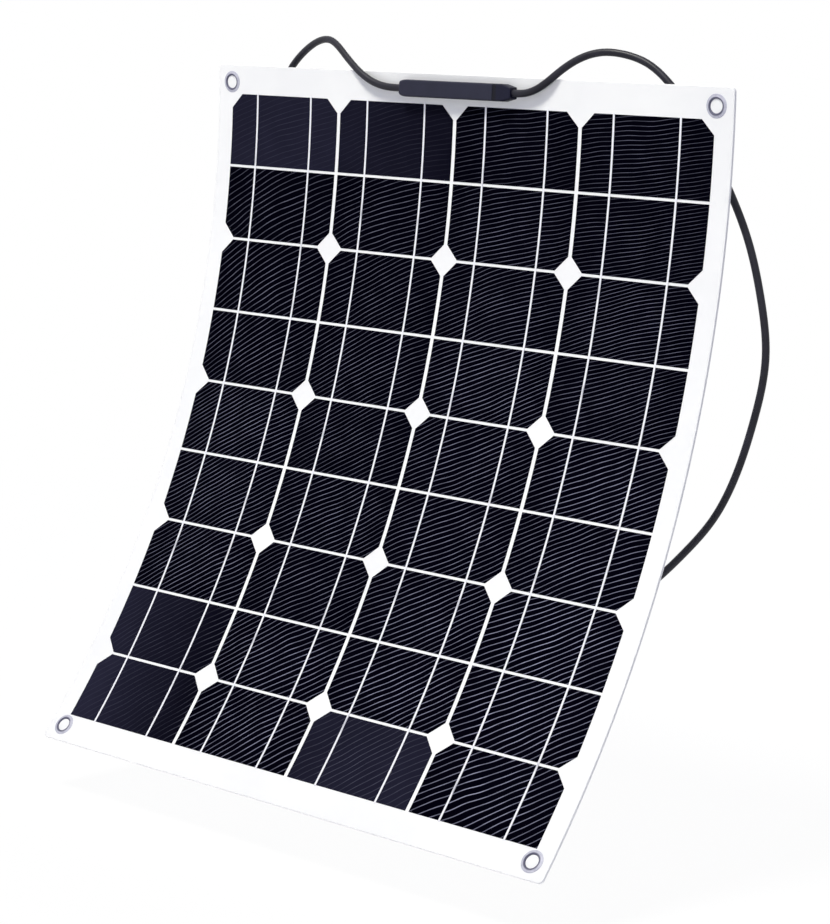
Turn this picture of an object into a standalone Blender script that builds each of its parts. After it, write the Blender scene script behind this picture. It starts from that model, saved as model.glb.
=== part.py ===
"""Flexible solar sheet with half-cut cells, an in-line junction box and two leads.

Units are metres and +Z is up.  The sheet hangs from its two top eyelets and its lower end sweeps
forward, towards -Y.  The origin is midway between the top eyelets, in the sheet's middle plane.

The laminate bends all over, so it is built as one stiff strip for each row of cells.  The strips are
hinged in the middle plane, under the narrow gaps between the rows, where the real sheet bends most
freely.  Each hinge opens from the curve shown here to flat.
"""

from math import asin, cos, pi, radians, sin, sqrt, tau

import bmesh
import bpy
import numpy as np
from mathutils import Matrix, Vector

# Solar cells: square wafers with clipped corners, cut in half
COLUMNS = 4
ROWS = 9
CELL_WIDTH = 0.1250
CELL_HEIGHT = 0.0614
CELL_CHAMFER = 0.0118
CELL_THICKNESS = 0.0004
COLUMN_GAP = 0.0036
ROW_GAP = 0.0022

# Tinned ribbons soldered along each cell
RIBBON_WIDTH = 0.0018
RIBBON_SPACING = 0.0634
RIBBON_THICKNESS = 0.0002
RIBBON_END_INSET = 0.0008

# Laminate
SHEET_THICKNESS = 0.0025
SIDE_BORDER = 0.0171
TOP_BORDER = 0.0248
BOTTOM_BORDER = 0.0248
CORNER_RADIUS = 0.0040
BEND_RADIUS = 0.8290
STRIP_GAP = 0.0004

# Clearance between pieces that touch on the real sheet
SEAT_GAP = 0.0003

# Eyelets
EYELET_BORE = 0.0110
EYELET_BARREL = 0.0124
EYELET_FLANGE = 0.0186
EYELET_DOME_HEIGHT = 0.0011
EYELET_RIM = 0.0003
EYELET_WASHER = 0.0006
EYELET_INSET_SIDE = 0.0160
EYELET_INSET_END = 0.0145

# Junction box: a slim bar glued to the front of the top border
BOX_LEFT = -0.0546
BOX_LENGTH = 0.1000
BOX_WIDTH = 0.0140
BOX_HEIGHT = 0.0090
BOX_NOSE_LENGTH = 0.0085
BOX_NOSE_WIDTH = 0.0088
BOX_EDGE = 0.0016
BOX_INSET = 0.0126
CAVITY_START = 0.0160
CAVITY_WIDTH = 0.0096
CAVITY_HEIGHT = 0.0056
CAP_LENGTH = 0.0182
CAP_TAPER_LENGTH = 0.0088
CAP_END_WIDTH = 0.0094
CAP_SPIGOT = 0.0080

# Bypass diode in the box
DIODE_DIAMETER = 0.0046
DIODE_LENGTH = 0.0090
DIODE_WIRE = 0.0012
DIODE_WIRE_LENGTH = 0.0110

# Leads
CABLE_DIAMETER = 0.0060
CABLE_CLEARANCE = 0.0003
CABLE_SEAT = 0.0080
CABLE_POINT_SPACING = 0.0150
LEFT_ROUTE = (
    (-0.0546, -0.00605, 0.0019),
    (-0.0660, -0.00605, 0.0019),
    (-0.0872, -0.00600, 0.0058),
    (-0.0991, -0.00560, 0.0113),
    (-0.1115, -0.00330, 0.0184),
    (-0.1250, 0.00000, 0.0270),
    (-0.1375, 0.00350, 0.0348),
    (-0.1500, 0.00700, 0.0392),
    (-0.1630, 0.01000, 0.0386),
    (-0.1774, 0.01300, 0.0335),
    (-0.1910, 0.01500, 0.0250),
    (-0.2025, 0.01650, 0.0145),
    (-0.2160, 0.01800, -0.0080),
    (-0.2300, 0.02000, -0.0420),
    (-0.2400, 0.02200, -0.0900),
    (-0.2420, 0.02300, -0.1500),
    (-0.2330, 0.02300, -0.2100),
    (-0.2130, 0.02300, -0.2700),
    (-0.1850, 0.02300, -0.3250),
    (-0.1560, 0.02300, -0.3730),
    (-0.1320, 0.02300, -0.4150),
    (-0.1180, 0.02300, -0.4480),
)
RIGHT_ROUTE = (
    (0.0639, -0.00605, 0.0019),
    (0.0770, -0.00605, 0.0026),
    (0.0886, -0.00600, 0.0067),
    (0.0975, -0.00550, 0.0123),
    (0.1062, -0.00370, 0.0195),
    (0.1151, -0.00140, 0.0263),
    (0.1240, 0.00120, 0.0316),
    (0.1342, 0.00400, 0.0354),
    (0.1466, 0.00700, 0.0370),
    (0.1590, 0.01000, 0.0359),
    (0.1790, 0.01400, 0.0297),
    (0.1992, 0.01700, 0.0148),
    (0.2300, 0.01900, -0.0210),
    (0.2587, 0.02000, -0.0641),
    (0.2778, 0.02000, -0.0991),
    (0.2930, 0.02000, -0.1431),
    (0.3005, 0.02000, -0.1850),
    (0.2938, 0.02000, -0.2343),
    (0.2793, 0.02000, -0.2824),
    (0.2615, 0.02000, -0.3169),
    (0.2400, 0.02000, -0.3430),
    (0.2182, 0.02000, -0.3654),
    (0.1960, 0.02000, -0.3850),
    (0.1700, 0.02000, -0.4050),
    (0.1480, 0.02000, -0.4240),
    (0.1320, 0.02000, -0.4440),
)

# Connectors on the leads
NUT_LENGTH = 0.0200
NUT_DIAMETER = 0.0190
NUT_NECK = 0.0120
NUT_WALL_LENGTH = 0.0080
NUT_FLATS = 6
NUT_FLAT_DEPTH = 0.0007
SPIGOT_DIAMETER = 0.0136
SHELL_DIAMETER = 0.0180
SHELL_LENGTH = 0.0240
SOCKET_DEPTH = 0.0100
NOSE_DIAMETER = 0.0112
NOSE_LENGTH = 0.0180
CONTACT_BORE = 0.0056
CONTACT_DIAMETER = 0.0040
CONTACT_REACH = 0.0300
LATCH_WIDTH = 0.0050
LATCH_THICKNESS = 0.0020
LATCH_OFFSET = 0.0072
LATCH_LENGTH = 0.0150
SLEEVE_WALL = 0.0015
SLEEVE_WINDOW = 0.0060

# What follows from the sizes above
COLUMN_PITCH = CELL_WIDTH + COLUMN_GAP
ROW_PITCH = CELL_HEIGHT + ROW_GAP
SHEET_WIDTH = COLUMNS * COLUMN_PITCH - COLUMN_GAP + 2 * SIDE_BORDER
FRONT = -SHEET_THICKNESS / 2
BACK = SHEET_THICKNESS / 2
TOP_EDGE = EYELET_INSET_END
STRIP_ANGLE = 2 * asin(ROW_PITCH / (2 * BEND_RADIUS))
EYELET_X = SHEET_WIDTH / 2 - EYELET_INSET_SIDE
CELL_DEPTH = RIBBON_THICKNESS + CELL_THICKNESS
CABLE_BORE = CABLE_DIAMETER + 2 * CABLE_CLEARANCE
BOX_RIGHT = BOX_LEFT + BOX_LENGTH
BOX_BACK = FRONT - SEAT_GAP
BOX_AXIS_Y = BOX_BACK - BOX_HEIGHT / 2
BOX_AXIS_Z = TOP_EDGE - BOX_INSET
CAP_START = BOX_RIGHT + SEAT_GAP

# How finely round shapes are drawn
ROUND_STEPS = 32
NUT_STEPS = 36
SMALL_STEPS = 20
CORNER_POINTS = 6
NOSE_POINTS = 7
BEAD_POINTS = 8
TIP_POINTS = 4
EDGE_SEGMENTS = 3
CABLE_SIDE_STEPS = 2
SHARP_ANGLE = radians(35)
EDGE_ANGLE = radians(50)
WELD_DISTANCE = 1e-6
FRAME_MARK = 0.0200


def clear_scene():
    for obj in list(bpy.data.objects):
        bpy.data.objects.remove(obj, do_unlink=True)


def new_collection(name):
    group = bpy.data.collections.new(name)
    bpy.context.scene.collection.children.link(group)
    return group


def new_material(name, colour, roughness, metallic=0.0):
    mat = bpy.data.materials.new(name)
    mat.use_nodes = True
    shader = mat.node_tree.nodes["Principled BSDF"]
    shader.inputs["Base Color"].default_value = (*colour, 1.0)
    shader.inputs["Roughness"].default_value = roughness
    shader.inputs["Metallic"].default_value = metallic
    return mat


def add_empty(name, parent=None, matrix=None):
    empty = bpy.data.objects.new(name, None)
    empty.empty_display_size = FRAME_MARK
    PARTS.objects.link(empty)
    empty.parent = parent
    empty.matrix_local = matrix or Matrix.Identity(4)
    return empty


def add_part(name, data, material, parent=None, matrix=None):
    part = bpy.data.objects.new(name, data)
    PARTS.objects.link(part)
    part.parent = parent
    part.matrix_local = matrix or Matrix.Identity(4)
    if not data.materials:
        data.materials.append(material)
    return part


def add_cutter(name, data, parent=None, matrix=None):
    cutter = bpy.data.objects.new(name, data)
    CUTTERS.objects.link(cutter)
    cutter.parent = parent
    cutter.matrix_local = matrix or Matrix.Identity(4)
    cutter.hide_render = True
    cutter.display_type = "WIRE"
    return cutter


def combine(part, other, operation):
    modifier = part.modifiers.new(operation.lower() + "_" + other.name, "BOOLEAN")
    modifier.operation = operation
    modifier.solver = "EXACT"
    modifier.object = other


def evaluated_mesh(source, name):
    """A mesh of what the object looks like with its modifiers, in its own space, edges welded."""
    bpy.context.view_layer.update()
    graph = bpy.context.evaluated_depsgraph_get()
    mesh = bpy.data.meshes.new_from_object(source.evaluated_get(graph))
    mesh.name = name
    mesh.validate()
    return mesh


def weld(mesh):
    """Merges points that meet, and turns every face outwards."""
    cage = bmesh.new()
    cage.from_mesh(mesh)
    bmesh.ops.remove_doubles(cage, verts=cage.verts, dist=WELD_DISTANCE)
    bmesh.ops.recalc_face_normals(cage, faces=cage.faces)
    cage.to_mesh(mesh)
    cage.free()
    return mesh


def plate_mesh(name, outline, y_front, y_back):
    """A flat plate: an outline of (x, z) points, filled, from y_front to y_back."""
    curve = bpy.data.curves.new(name, "CURVE")
    curve.dimensions = "2D"
    curve.fill_mode = "BOTH"
    curve.extrude = (y_back - y_front) / 2
    line = curve.splines.new("POLY")
    line.points.add(len(outline) - 1)
    for point, (x, z) in zip(line.points, outline):
        point.co = (x, z, 0.0, 1.0)
    line.use_cyclic_u = True
    holder = bpy.data.objects.new(name, curve)
    CUTTERS.objects.link(holder)
    mesh = evaluated_mesh(holder, name)
    bpy.data.objects.remove(holder, do_unlink=True)
    # The curve lies in XY: stand it up, so that its own +Z faces -Y
    mesh.transform(Matrix.Translation((0, (y_front + y_back) / 2, 0)) @ Matrix.Rotation(pi / 2, 4, "X"))
    return weld(mesh)


def turned_mesh(name, profile, steps, closed=False):
    """A turned solid about Z, from (radius, z) points that run down its outer side."""
    mesh = bpy.data.meshes.new(name)
    points = [(radius, 0.0, z) for radius, z in profile]
    edges = [(i, i + 1) for i in range(len(points) - 1)]
    if closed:
        edges.append((len(points) - 1, 0))
    mesh.from_pydata(points, edges, [])
    holder = bpy.data.objects.new(name, mesh)
    CUTTERS.objects.link(holder)
    screw = holder.modifiers.new("turn", "SCREW")
    screw.steps = steps
    screw.render_steps = steps
    screw.use_merge_vertices = True
    screw.merge_threshold = WELD_DISTANCE
    turned = weld(evaluated_mesh(holder, name))
    bpy.data.objects.remove(holder, do_unlink=True)
    turned.shade_smooth()
    turned.set_sharp_from_angle(angle=SHARP_ANGLE)
    return turned


def cylinder_mesh(name, diameter, z_low, z_high, steps=SMALL_STEPS):
    radius = diameter / 2
    return turned_mesh(name, [(0, z_high), (radius, z_high), (radius, z_low), (0, z_low)], steps)


def along_x(x, y, z):
    """Places a turned shape with its +Z towards +X."""
    return Matrix.Translation((x, y, z)) @ Matrix.Rotation(pi / 2, 4, "Y")


def corner_arc(x, z, start):
    """A quarter turn about (x, z), anticlockwise from the angle at its start."""
    angles = np.linspace(start, start + pi / 2, CORNER_POINTS)
    return [(x + CORNER_RADIUS * cos(a), z + CORNER_RADIUS * sin(a)) for a in angles]


def strip_outline(z_low, z_high, top_corners, bottom_corners):
    """One row of the laminate, seen from the front, with its free corners rounded."""
    half = SHEET_WIDTH / 2
    inner = half - CORNER_RADIUS
    outline = []
    if top_corners:
        outline += corner_arc(inner, z_high - CORNER_RADIUS, 0)
        outline += corner_arc(-inner, z_high - CORNER_RADIUS, pi / 2)
    else:
        outline += [(half, z_high), (-half, z_high)]
    if bottom_corners:
        outline += corner_arc(-inner, z_low + CORNER_RADIUS, pi)
        outline += corner_arc(inner, z_low + CORNER_RADIUS, 3 * pi / 2)
    else:
        outline += [(-half, z_low), (half, z_low)]
    return outline


def cell_outline(grow):
    """A half cell with its two upper corners clipped, or the pocket for it when grown."""
    x = CELL_WIDTH / 2 + grow
    z = CELL_HEIGHT / 2 + grow
    clip = CELL_CHAMFER + grow * (2 - sqrt(2))
    return [(x, -z), (x, z - clip), (x - clip, z), (-x + clip, z), (-x, z - clip), (-x, -z)]


def rectangle(x_low, x_high, z_low, z_high):
    return [(x_high, z_low), (x_high, z_high), (x_low, z_high), (x_low, z_low)]


def add_row_frames():
    """An empty at the top of each row: row 1's is fixed, and the others lie on the hinge axes."""
    first = add_empty("row_1_frame", None, Matrix.Translation((0, 0, TOP_EDGE - TOP_BORDER + ROW_GAP / 2)))
    frames = [first]
    step = Matrix.Translation((0, 0, -ROW_PITCH)) @ Matrix.Rotation(-STRIP_ANGLE, 4, "X")
    for row in range(2, ROWS + 1):
        frames.append(add_empty(f"row_{row - 1}_to_{row}_hinge", frames[-1], step))
    return frames


def cell_place(row, column):
    """Where a cell lies in its row's frame: even rows hold the lower halves, turned upside down."""
    x = (column - (COLUMNS - 1) / 2) * COLUMN_PITCH
    place = Matrix.Translation((x, FRONT, -ROW_PITCH / 2))
    if row % 2 == 0:
        place = place @ Matrix.Rotation(pi, 4, "Y")
    return place


def make_cell_mesh(material):
    """A wafer with its two ribbons, as one soldered piece, whose ribbon faces lie at y = 0."""
    wafer_data = plate_mesh("wafer", cell_outline(0), RIBBON_THICKNESS, CELL_DEPTH)
    wafer = bpy.data.objects.new("wafer", wafer_data)
    CUTTERS.objects.link(wafer)
    ribbons = []
    for side in (-1, 1):
        x = side * RIBBON_SPACING / 2
        half = RIBBON_WIDTH / 2
        reach = CELL_HEIGHT / 2 - RIBBON_END_INSET
        outline = rectangle(x - half, x + half, -reach, reach)
        data = plate_mesh("ribbon", outline, 0, RIBBON_THICKNESS + CELL_THICKNESS / 2)
        ribbons.append(add_cutter(f"ribbon_{side}", data))
        combine(wafer, ribbons[-1], "UNION")
    mesh = evaluated_mesh(wafer, "tabbed_half_cell")
    for helper in [wafer, *ribbons]:
        bpy.data.objects.remove(helper, do_unlink=True)
    mesh.materials.clear()
    mesh.materials.append(material)
    return mesh


def add_laminate(frames):
    """The nine strips, each with four pockets for its cells and, at the ends, two eyelet holes."""
    white = new_material("white laminate", (0.90, 0.90, 0.93), 0.35)
    pocket = plate_mesh("cell pocket", cell_outline(SEAT_GAP), -SHEET_THICKNESS, CELL_DEPTH + SEAT_GAP)
    hole = cylinder_mesh("eyelet hole", EYELET_BARREL + 2 * SEAT_GAP, -SHEET_THICKNESS, SHEET_THICKNESS)
    for row, frame in enumerate(frames, start=1):
        is_top = row == 1
        is_bottom = row == ROWS
        z_high = TOP_BORDER - ROW_GAP / 2 if is_top else -STRIP_GAP / 2
        z_low = -ROW_PITCH - BOTTOM_BORDER + ROW_GAP / 2 if is_bottom else -ROW_PITCH + STRIP_GAP / 2
        data = plate_mesh(f"strip {row}", strip_outline(z_low, z_high, is_top, is_bottom), FRONT, BACK)
        strip = add_part(f"laminate_row_{row}", data, white, frame)
        for column in range(COLUMNS):
            place = cell_place(row, column)
            combine(strip, add_cutter(f"pocket_{row}_{column + 1}", pocket, frame, place), "DIFFERENCE")
        if is_top or is_bottom:
            z = z_high - EYELET_INSET_END if is_top else z_low + EYELET_INSET_END
            for side in (-1, 1):
                place = Matrix.Translation((side * EYELET_X, 0, z)) @ Matrix.Rotation(pi / 2, 4, "X")
                cutter = add_cutter(f"eyelet_hole_{row}_{side}", hole, frame, place)
                combine(strip, cutter, "DIFFERENCE")


def add_cells(frames):
    silicon = new_material("blue black silicon", (0.012, 0.010, 0.030), 0.25, 0.2)
    mesh = make_cell_mesh(silicon)
    for row, frame in enumerate(frames, start=1):
        for column in range(COLUMNS):
            name = f"half_cell_row_{row}_column_{column + 1}"
            add_part(name, mesh, silicon, frame, cell_place(row, column))


def eyelet_profile():
    """Down the domed front flange, the barrel and the flat back flange, and up the bore."""
    bore = EYELET_BORE / 2
    barrel = EYELET_BARREL / 2
    flange = EYELET_FLANGE / 2
    seat = SHEET_THICKNESS / 2 + SEAT_GAP
    middle = (bore + flange) / 2
    half = (flange - bore) / 2
    rim = seat + EYELET_RIM
    angles = np.linspace(pi, 0, BEAD_POINTS)
    dome = [(middle + half * cos(a), rim + (EYELET_DOME_HEIGHT - EYELET_RIM) * sin(a)) for a in angles]
    foot = -seat - EYELET_WASHER
    rest = [(flange, seat), (barrel, seat), (barrel, -seat), (flange, -seat), (flange, foot), (bore, foot)]
    return dome + rest


def add_eyelets(frames):
    steel = new_material("bright plated eyelet", (0.72, 0.72, 0.75), 0.22, 1.0)
    mesh = turned_mesh("eyelet", eyelet_profile(), ROUND_STEPS, closed=True)
    top_z = TOP_BORDER - ROW_GAP / 2 - EYELET_INSET_END
    bottom_z = -ROW_PITCH - BOTTOM_BORDER + ROW_GAP / 2 + EYELET_INSET_END
    for end, frame, z in (("top", frames[0], top_z), ("bottom", frames[-1], bottom_z)):
        for side, word in ((-1, "left"), (1, "right")):
            place = Matrix.Translation((side * EYELET_X, 0, z)) @ Matrix.Rotation(pi / 2, 4, "X")
            add_part(f"eyelet_{end}_{word}", mesh, steel, frame, place)


def round_edges(part):
    bevel = part.modifiers.new("round edges", "BEVEL")
    bevel.width = BOX_EDGE
    bevel.segments = EDGE_SEGMENTS
    bevel.limit_method = "ANGLE"
    bevel.angle_limit = EDGE_ANGLE


def box_outline():
    """The box from the front: a straight right end, and a left end that rounds down to the lead."""
    half = BOX_WIDTH / 2
    nose = BOX_NOSE_WIDTH / 2
    angles = np.linspace(0, pi / 2, NOSE_POINTS)
    shoulder = BOX_LEFT + BOX_NOSE_LENGTH
    upper = [(shoulder - BOX_NOSE_LENGTH * sin(a), nose + (half - nose) * cos(a)) for a in angles]
    lower = [(x, -z) for x, z in reversed(upper)]
    points = [(BOX_RIGHT, -half), (BOX_RIGHT, half), *upper, *lower]
    return [(x, z + BOX_AXIS_Z) for x, z in points]


def cap_outline():
    half = BOX_WIDTH / 2
    end = CAP_START + CAP_LENGTH
    tip = CAP_END_WIDTH / 2
    points = [(end, -tip), (end, tip), (end - CAP_TAPER_LENGTH, half), (CAP_START, half)]
    points += [(CAP_START, -half), (end - CAP_TAPER_LENGTH, -half)]
    return [(x, z + BOX_AXIS_Z) for x, z in points]


def bar_mesh(name, x_low, x_high, gap):
    """A bar along the box's axis that fills its cavity, less a gap all round."""
    high = CAVITY_HEIGHT / 2 - gap
    wide = CAVITY_WIDTH / 2 - gap
    outline = rectangle(x_low, x_high, BOX_AXIS_Z - wide, BOX_AXIS_Z + wide)
    return plate_mesh(name, outline, BOX_AXIS_Y - high, BOX_AXIS_Y + high)


def add_junction_box():
    """A moulded body with a cavity for the diode, closed by an end cap whose spigot fits the cavity."""
    plastic = new_material("charcoal box plastic", (0.045, 0.043, 0.055), 0.5)
    cap_plastic = new_material("charcoal cap plastic", (0.030, 0.029, 0.040), 0.45)
    body_data = plate_mesh("box body", box_outline(), BOX_BACK - BOX_HEIGHT, BOX_BACK)
    body = add_part("junction_box_body", body_data, plastic)
    round_edges(body)
    cavity = bar_mesh("box cavity", BOX_LEFT + CAVITY_START, BOX_RIGHT + BOX_EDGE, 0)
    combine(body, add_cutter("box_cavity", cavity), "DIFFERENCE")
    bore = cylinder_mesh("lead bore", CABLE_BORE, -CABLE_SEAT, CABLE_SEAT)
    left_bore = add_cutter("left_lead_bore", bore, None, along_x(BOX_LEFT, BOX_AXIS_Y, BOX_AXIS_Z))
    combine(body, left_bore, "DIFFERENCE")

    cap_end = CAP_START + CAP_LENGTH
    cap_data = plate_mesh("box cap", cap_outline(), BOX_BACK - BOX_HEIGHT, BOX_BACK)
    cap = add_part("junction_box_end_cap", cap_data, cap_plastic)
    round_edges(cap)
    spigot = bar_mesh("cap spigot", BOX_RIGHT - CAP_SPIGOT, CAP_START + BOX_EDGE, SEAT_GAP)
    combine(cap, add_cutter("cap_spigot", spigot), "UNION")
    right_bore = add_cutter("right_lead_bore", bore, None, along_x(cap_end, BOX_AXIS_Y, BOX_AXIS_Z))
    combine(cap, right_bore, "DIFFERENCE")


def add_diode():
    """The bypass diode lies along the cavity, just off its floor."""
    body = DIODE_DIAMETER / 2
    wire = DIODE_WIRE / 2
    half = DIODE_LENGTH / 2
    tip = half + DIODE_WIRE_LENGTH
    profile = [(0, tip), (wire, tip), (wire, half), (body, half)]
    profile += [(body, -half), (wire, -half), (wire, -tip), (0, -tip)]
    epoxy = new_material("diode epoxy", (0.02, 0.02, 0.02), 0.4)
    x = (BOX_LEFT + CAVITY_START + BOX_RIGHT - CAP_SPIGOT) / 2
    y = BOX_AXIS_Y + CAVITY_HEIGHT / 2 - SEAT_GAP - body
    mesh = turned_mesh("diode", profile, SMALL_STEPS)
    add_part("bypass_diode", mesh, epoxy, None, along_x(x, y, BOX_AXIS_Z))


def smooth_route(points, spacing):
    """Points about one spacing apart on the natural cubic spline through the route's points."""
    knots = np.array(points, float)
    lengths = np.linalg.norm(np.diff(knots, axis=0), axis=1)
    stops = np.concatenate([[0.0], np.cumsum(lengths)])
    count = len(knots)
    system = np.eye(count)
    right = np.zeros((count, 3))
    for i in range(1, count - 1):
        before, after = lengths[i - 1], lengths[i]
        system[i, i - 1 : i + 2] = before, 2 * (before + after), after
        right[i] = 6 * ((knots[i + 1] - knots[i]) / after - (knots[i] - knots[i - 1]) / before)
    bends = np.linalg.solve(system, right)
    places = np.linspace(0, stops[-1], round(stops[-1] / spacing) + 1)
    spans = np.clip(np.searchsorted(stops, places, side="right") - 1, 0, count - 2)
    width = lengths[spans][:, None]
    ahead = places[:, None] - stops[spans][:, None]
    left = width - ahead
    curve = (bends[spans] * left**3 + bends[spans + 1] * ahead**3) / (6 * width)
    curve += (knots[spans] / width - bends[spans] * width / 6) * left
    curve += (knots[spans + 1] / width - bends[spans + 1] * width / 6) * ahead
    return curve


def lead_points(route, into_box):
    """The whole lead: seated in the box, along its route, then straight into its connector."""
    curve = smooth_route(route, CABLE_POINT_SPACING)
    seat = curve[0] + np.array([into_box * (CABLE_SEAT - CABLE_CLEARANCE), 0, 0])
    end_way = curve[-1] - curve[-2]
    end_way /= np.linalg.norm(end_way)
    end = curve[-1] + end_way * (NUT_LENGTH + SOCKET_DEPTH)
    return np.vstack([seat, curve, end]), end_way


def add_lead(name, route, into_box, material):
    points, _ = lead_points(route, into_box)
    curve = bpy.data.curves.new(name, "CURVE")
    curve.dimensions = "3D"
    curve.bevel_depth = CABLE_DIAMETER / 2
    curve.bevel_resolution = CABLE_SIDE_STEPS
    curve.use_fill_caps = True
    line = curve.splines.new("POLY")
    line.points.add(len(points) - 1)
    for point, (x, y, z) in zip(line.points, points):
        point.co = (x, y, z, 1.0)
    add_part(name, curve, material)


def add_nut(name, material, frame):
    """A gland nut: a tapered neck round the lead, and a skirt with flats over the housing's spigot."""
    bore = CABLE_BORE / 2
    skirt = SPIGOT_DIAMETER / 2 + SEAT_GAP
    outer = NUT_DIAMETER / 2
    neck = NUT_NECK / 2
    edge = NUT_FLAT_DEPTH
    wall = -NUT_WALL_LENGTH
    profile = [(bore, 0), (neck, 0), (outer, wall), (outer, -NUT_LENGTH + edge)]
    profile += [(outer - edge, -NUT_LENGTH), (skirt, -NUT_LENGTH), (skirt, wall), (bore, wall)]
    nut = add_part(name, turned_mesh("gland nut", profile, NUT_STEPS, closed=True), material, frame)
    for flat in range(NUT_FLATS):
        reach = NUT_DIAMETER
        depth = outer - NUT_FLAT_DEPTH
        low = -NUT_LENGTH + edge * 2
        outline = rectangle(depth, depth + reach, low, wall - edge)
        data = plate_mesh("nut flat", outline, -reach, reach)
        turn = Matrix.Rotation(tau * flat / NUT_FLATS, 4, "Z")
        combine(nut, add_cutter(f"{name}_flat_{flat + 1}", data, frame, turn), "DIFFERENCE")


def rear_profile():
    """The half of a housing that both connectors share, from the spigot's socket to the shell's side."""
    socket = CABLE_BORE / 2
    spigot = SPIGOT_DIAMETER / 2
    shell = SHELL_DIAMETER / 2
    rear = -NUT_WALL_LENGTH - SEAT_GAP
    shoulder = -NUT_LENGTH - SEAT_GAP
    bottom = -NUT_LENGTH - SOCKET_DEPTH - CABLE_CLEARANCE
    edge = NUT_FLAT_DEPTH
    inner = [(0, bottom), (socket, bottom), (socket, rear), (spigot, rear), (spigot, shoulder)]
    return inner + [(shell - edge, shoulder), (shell, shoulder - edge)]


def add_plug_housing(name, material, frame):
    """The plug: a nose round the contact's bore, between two latch legs."""
    shell = SHELL_DIAMETER / 2
    nose = NOSE_DIAMETER / 2
    bore = CONTACT_BORE / 2
    front = -NUT_LENGTH - SHELL_LENGTH
    tip = front - NOSE_LENGTH
    floor = tip + CONTACT_REACH + SEAT_GAP
    profile = rear_profile()
    profile += [(shell, front), (nose, front), (nose, tip), (bore, tip), (bore, floor), (0, floor)]
    housing = add_part(name, turned_mesh("plug housing", profile, ROUND_STEPS), material, frame)
    for side in (-1, 1):
        x_in = side * LATCH_OFFSET - LATCH_THICKNESS / 2
        x_out = side * LATCH_OFFSET + LATCH_THICKNESS / 2
        barb = x_out + LATCH_THICKNESS / 2 if side > 0 else x_in - LATCH_THICKNESS / 2
        low = front - LATCH_LENGTH
        near, far = (x_in, x_out) if side > 0 else (x_out, x_in)
        root = front + LATCH_THICKNESS
        outline = [(near, root), (near, low), (far, low), (barb, low + LATCH_THICKNESS * 2)]
        outline += [(far, low + LATCH_THICKNESS * 2), (far, root)]
        data = plate_mesh("latch leg", outline, -LATCH_WIDTH / 2, LATCH_WIDTH / 2)
        combine(housing, add_cutter(f"{name}_leg_{side}", data, frame), "UNION")


def add_socket_housing(name, material, frame):
    """The socket: a sleeve round the contact, with a window on each side for the plug's latches."""
    shell = SHELL_DIAMETER / 2
    sleeve = shell - SLEEVE_WALL
    front = -NUT_LENGTH - SHELL_LENGTH
    tip = front - NOSE_LENGTH
    post = CONTACT_BORE / 2
    floor = tip + CONTACT_REACH + SEAT_GAP
    profile = rear_profile()
    profile += [(shell, tip), (sleeve, tip), (sleeve, front), (post, front), (post, floor), (0, floor)]
    housing = add_part(name, turned_mesh("socket housing", profile, ROUND_STEPS), material, frame)
    middle = front - NOSE_LENGTH / 2
    half = SLEEVE_WINDOW / 2
    outline = rectangle(-SHELL_DIAMETER, SHELL_DIAMETER, middle - half, middle + half)
    data = plate_mesh("latch window", outline, -LATCH_WIDTH / 2 - SEAT_GAP, LATCH_WIDTH / 2 + SEAT_GAP)
    combine(housing, add_cutter(f"{name}_window", data, frame), "DIFFERENCE")


def add_contact(name, material, frame, recess):
    """A turned contact in its bore, with a rounded tip set back from the housing's end."""
    radius = CONTACT_DIAMETER / 2
    tip = -NUT_LENGTH - SHELL_LENGTH - NOSE_LENGTH + recess
    top = tip - recess + CONTACT_REACH
    angles = np.linspace(0, pi / 2, TIP_POINTS)
    nose = [(radius * cos(a), tip + radius * (1 - sin(a))) for a in angles]
    collar = CONTACT_BORE / 2 - SEAT_GAP
    seat = top - CONTACT_DIAMETER
    profile = [(0, top), (collar, top), (collar, seat), (radius, seat), *nose[:-1], (0, tip)]
    add_part(name, turned_mesh("contact", profile, SMALL_STEPS), material, frame)


def add_leads():
    """Two leads, each with its gland nut, housing and contact in line with the lead's end."""
    rubber = new_material("black cable jacket", (0.022, 0.021, 0.030), 0.45)
    plastic = new_material("black connector plastic", (0.02, 0.02, 0.022), 0.45)
    nut_plastic = new_material("black nut plastic", (0.025, 0.025, 0.027), 0.5)
    tin = new_material("tinned contact", (0.80, 0.78, 0.74), 0.3, 1.0)
    for side, route, into_box in (("left", LEFT_ROUTE, 1), ("right", RIGHT_ROUTE, -1)):
        add_lead(f"{side}_lead", route, into_box, rubber)
        points, way = lead_points(route, into_box)
        start = points[-2]
        turn = Vector(way).to_track_quat("-Z", "Y").to_matrix().to_4x4()
        frame = add_empty(f"{side}_connector_axis", None, Matrix.Translation(start) @ turn)
        add_nut(f"{side}_gland_nut", nut_plastic, frame)
        if side == "left":
            add_plug_housing("plug_housing", plastic, frame)
            add_contact("plug_contact", tin, frame, LATCH_THICKNESS)
        else:
            add_socket_housing("socket_housing", plastic, frame)
            add_contact("socket_contact", tin, frame, LATCH_THICKNESS)


clear_scene()
PARTS = new_collection("flexible solar sheet")
CUTTERS = new_collection("cutters")
row_frames = add_row_frames()
add_laminate(row_frames)
add_cells(row_frames)
add_eyelets(row_frames)
add_junction_box()
add_diode()
add_leads()
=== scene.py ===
from math import pi, radians, tau

import bpy
import numpy as np
from mathutils import Matrix, Vector


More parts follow.
